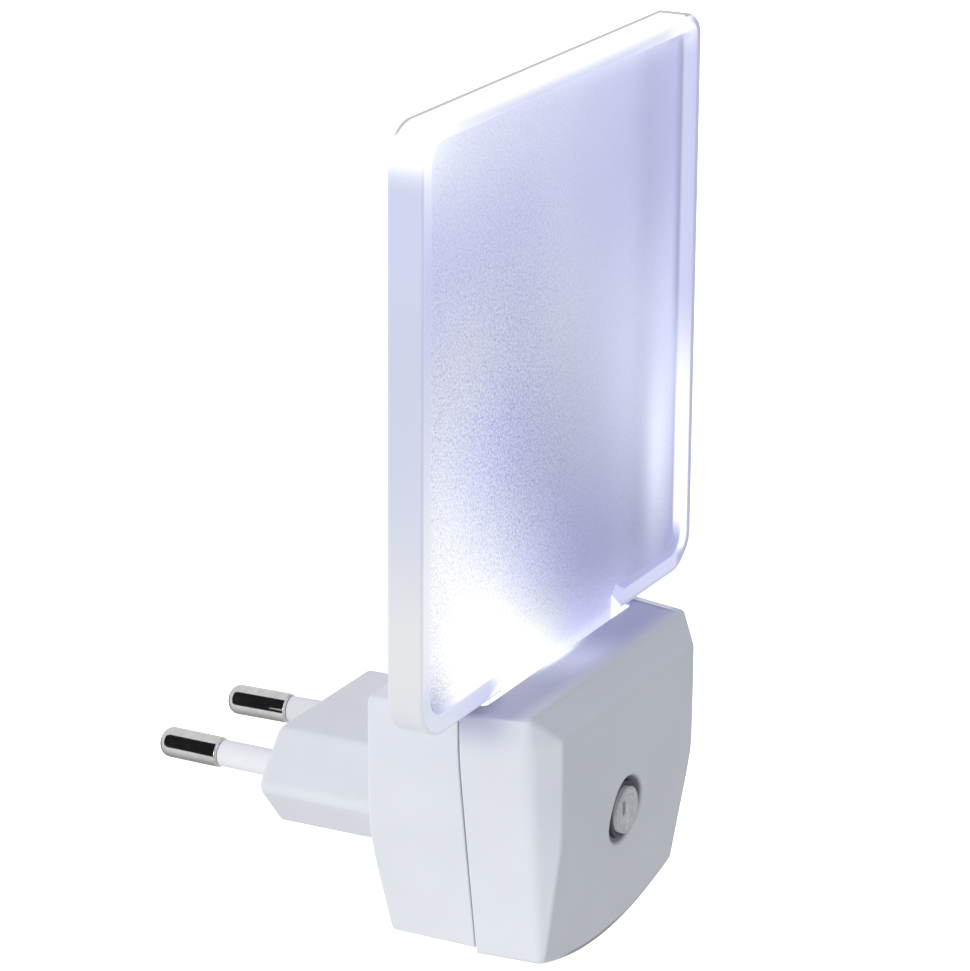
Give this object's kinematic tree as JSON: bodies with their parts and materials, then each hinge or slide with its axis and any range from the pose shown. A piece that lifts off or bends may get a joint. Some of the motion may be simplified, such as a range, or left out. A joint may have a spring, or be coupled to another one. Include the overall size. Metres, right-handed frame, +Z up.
{
  "type": "plug in night light",
  "caption": "Plug-in night light: two-pin plug body, two-shell casing with a dusk sensor window, and a wide frosted light panel standing on top.",
  "frame": {"origin": "centre of the plug body's engagement face, between the two pins", "axes": "+Y along the pins into the wall socket, +Z up along the light panel, the front face and sensor look along -Y"},
  "size_m": [0.0764, 0.0632, 0.1126],
  "materials": {
    "casing_plastic": "satin white ABS with a fine moulded texture",
    "plug_plastic": "satin white",
    "frosted_panel": "frosted translucent acrylic with a grained front, lit from below",
    "pin_metal": "bright nickel plating",
    "sleeve_plastic": "satin white",
    "clear_lens": "clear acrylic with turned rings",
    "dark_rubber": "matte",
    "ceramic": "matte cadmium sulphide face on ceramic",
    "board": "solder mask",
    "brass": "rolled strip",
    "wire_brown": "PVC",
    "wire_blue": "PVC",
    "led_resin": "clear resin with phosphor",
    "film_yellow": "moulded box",
    "can_sleeve": "shrink sleeve",
    "black_resin": "moulded epoxy",
    "resistor_coat": "lacquer",
    "fuse_coat": "lacquer",
    "diode_glass": "glass body",
    "screw_steel": "zinc plated"
  },
  "bodies": {
    "root": {"front_casing": "casing_plastic", "rear_casing": "casing_plastic", "plug_body": "plug_plastic", "pin_left": "pin_metal", "pin_right": "pin_metal", "sleeve_left": "sleeve_plastic", "sleeve_right": "sleeve_plastic", "contact_left": "brass", "contact_right": "brass", "lead_live": "wire_brown", "lead_neutral": "wire_blue", "light_panel": "frosted_panel", "sensor_lens": "clear_lens", "sensor_ring": "dark_rubber", "sensor_shroud": "dark_rubber", "photocell": "ceramic", "circuit_board": "board", "led_left": "led_resin", "led_centre": "led_resin", "led_right": "led_resin", "led_reflector": "casing_plastic", "film_capacitor": "film_yellow", "smoothing_capacitor": "can_sleeve", "bridge_rectifier": "black_resin", "fuse_resistor": "fuse_coat", "bleed_resistor": "resistor_coat", "zener_diode": "diode_glass", "switching_transistor": "black_resin", "casing_screws": "screw_steel", "board_screws": "screw_steel"}
  },
  "joints": []
}
